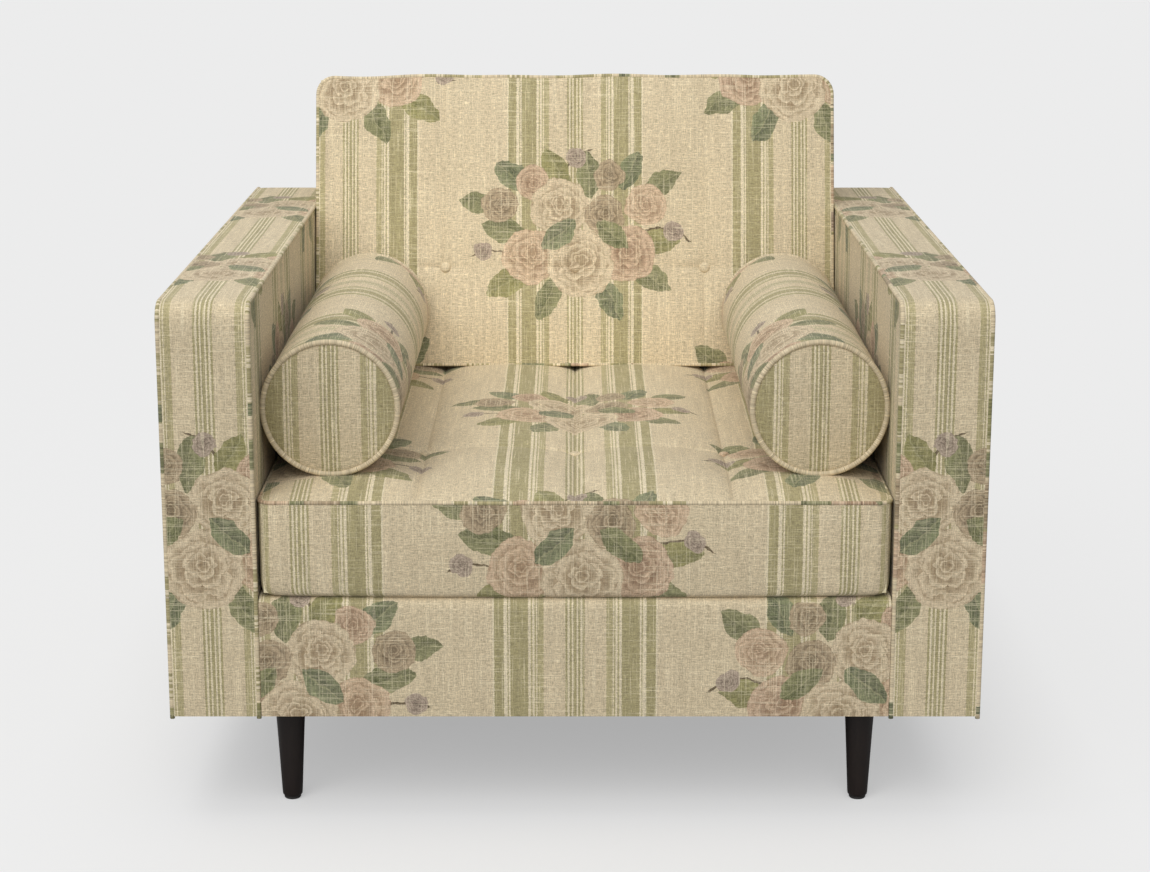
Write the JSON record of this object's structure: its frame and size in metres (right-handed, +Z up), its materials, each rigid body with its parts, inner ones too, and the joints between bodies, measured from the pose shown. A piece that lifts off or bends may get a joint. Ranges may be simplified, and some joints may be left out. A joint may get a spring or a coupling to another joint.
{
  "type": "upholstered club armchair",
  "caption": "Low square club armchair with a boxed seat cushion, a leaning tufted back cushion, round arm bolsters and short turned tapered legs.",
  "frame": {"origin": "on the floor, under the middle of the chair's overall width and depth", "axes": "+Z up, the front faces -Y, +X to the right of someone who looks at the front"},
  "size_m": [1, 1.021, 0.8407],
  "materials": {
    "printed_linen": null,
    "cushion_linen": "the same printed linen on the loose cushions and bolsters, matt",
    "piping_cloth": "the same linen cut narrow over cord, matt",
    "button_cloth": "the same linen over button moulds, matt",
    "filling": "pale upholstery foam and fibre",
    "deck_cloth": "plain deck cloth over felt",
    "frame_timber": "planed unfinished beech",
    "leg_timber": "turned beech with an espresso stain, satin",
    "glide_nylon": "moulded black nylon",
    "spring_steel": "drawn spring wire",
    "jute_webbing": "woven webbing",
    "dust_cloth": "thin black non-woven cloth"
  },
  "bodies": {
    "root": {"front_rail": "frame_timber", "rear_rail": "frame_timber", "side_rail_left": "frame_timber", "side_rail_right": "frame_timber", "arm_front_post_left": "frame_timber", "arm_front_post_right": "frame_timber", "arm_rear_post_left": "frame_timber", "arm_rear_post_right": "frame_timber", "arm_top_rail_left": "frame_timber", "arm_top_rail_right": "frame_timber", "back_side_frame_left": "frame_timber", "back_side_frame_right": "frame_timber", "back_top_rail": "frame_timber", "back_lower_rail": "frame_timber", "corner_block_front_left": "frame_timber", "corner_block_front_right": "frame_timber", "corner_block_rear_left": "frame_timber", "corner_block_rear_right": "frame_timber", "back_webbing_lower": "jute_webbing", "back_webbing_upper": "jute_webbing", "seat_spring_1": "spring_steel", "seat_spring_2": "spring_steel", "seat_spring_3": "spring_steel", "seat_spring_4": "spring_steel", "seat_deck": "deck_cloth", "dust_cover": "dust_cloth", "leg_front_left": "leg_timber", "leg_front_right": "leg_timber", "leg_rear_left": "leg_timber", "leg_rear_right": "leg_timber", "leg_glide_front_left": "glide_nylon", "leg_glide_front_right": "glide_nylon", "leg_glide_rear_left": "glide_nylon", "leg_glide_rear_right": "glide_nylon", "arm_cover_left": "printed_linen", "arm_cover_right": "printed_linen", "arm_piping_left_inner": "piping_cloth", "arm_piping_left_outer": "piping_cloth", "arm_piping_right_inner": "piping_cloth", "arm_piping_right_outer": "piping_cloth", "apron_cover": "printed_linen", "back_cover": "printed_linen", "seat_cushion_cover": "cushion_linen", "seat_cushion_core": "filling", "seat_cushion_piping": "piping_cloth", "seat_button_left": "button_cloth", "seat_button_middle": "button_cloth", "seat_button_right": "button_cloth", "back_cushion_cover": "cushion_linen", "back_cushion_core": "filling", "back_cushion_piping": "piping_cloth", "back_button_left": "button_cloth", "back_button_middle": "button_cloth", "back_button_right": "button_cloth", "bolster_cover_left": "cushion_linen", "bolster_cover_right": "cushion_linen", "bolster_core_left": "filling", "bolster_core_right": "filling", "bolster_piping_left": "piping_cloth", "bolster_piping_right": "piping_cloth"}
  },
  "joints": []
}
